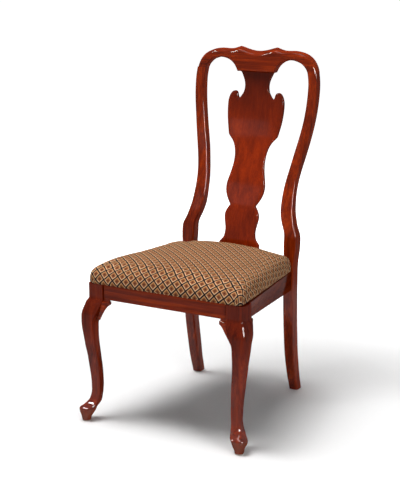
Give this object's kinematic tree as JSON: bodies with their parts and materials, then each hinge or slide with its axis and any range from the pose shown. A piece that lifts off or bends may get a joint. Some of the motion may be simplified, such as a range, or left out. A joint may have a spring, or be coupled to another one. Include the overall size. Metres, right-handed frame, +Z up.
{
  "type": "dining side chair",
  "caption": "Carved wooden side chair with a vase-shaped splat, curved crest, cabriole front legs with pad feet and an upholstered seat in lattice fabric.",
  "frame": {"origin": "on the floor, in the middle of the outline in plan", "axes": "+X to the right seen from the front, +Y to the back, +Z up"},
  "size_m": [0.5376, 0.6137, 1.0537],
  "materials": {
    "stained_wood": "dark red-brown stain under a glossy clear lacquer",
    "plain_wood": "plain unfinished hardwood",
    "fastener_steel": "zinc plated",
    "seat_board": "plywood",
    "seat_foam": "open-cell foam padding",
    "seat_fabric": "woven lattice of rust and gold diamonds on dark lines",
    "dust_cloth": "thin black non-woven cloth",
    "glide": "pale nail-on glide"
  },
  "bodies": {
    "root": {"front_leg_left": "stained_wood", "front_leg_right": "stained_wood", "knee_return_front_left": "stained_wood", "knee_return_side_left": "stained_wood", "knee_return_front_right": "stained_wood", "knee_return_side_right": "stained_wood", "back_post_left": "stained_wood", "back_post_right": "stained_wood", "crest_rail": "stained_wood", "splat": "stained_wood", "splat_shoe": "stained_wood", "front_rail": "stained_wood", "back_rail": "stained_wood", "side_rail_left": "stained_wood", "side_rail_right": "stained_wood", "corner_block_front_left": "plain_wood", "corner_block_front_right": "plain_wood", "corner_block_rear_left": "plain_wood", "corner_block_rear_right": "plain_wood", "front_rail_dowels": "plain_wood", "side_rail_dowels_left": "plain_wood", "side_rail_dowels_right": "plain_wood", "back_rail_dowels": "plain_wood", "crest_dowels": "plain_wood", "corner_block_screws": "fastener_steel", "seat_screws": "fastener_steel", "seat_tacks": "fastener_steel", "seat_board": "seat_board", "seat_foam": "seat_foam", "seat_cover": "seat_fabric", "dust_cover": "dust_cloth", "glide_front_left": "glide", "glide_front_right": "glide", "glide_rear_left": "glide", "glide_rear_right": "glide"}
  },
  "joints": []
}
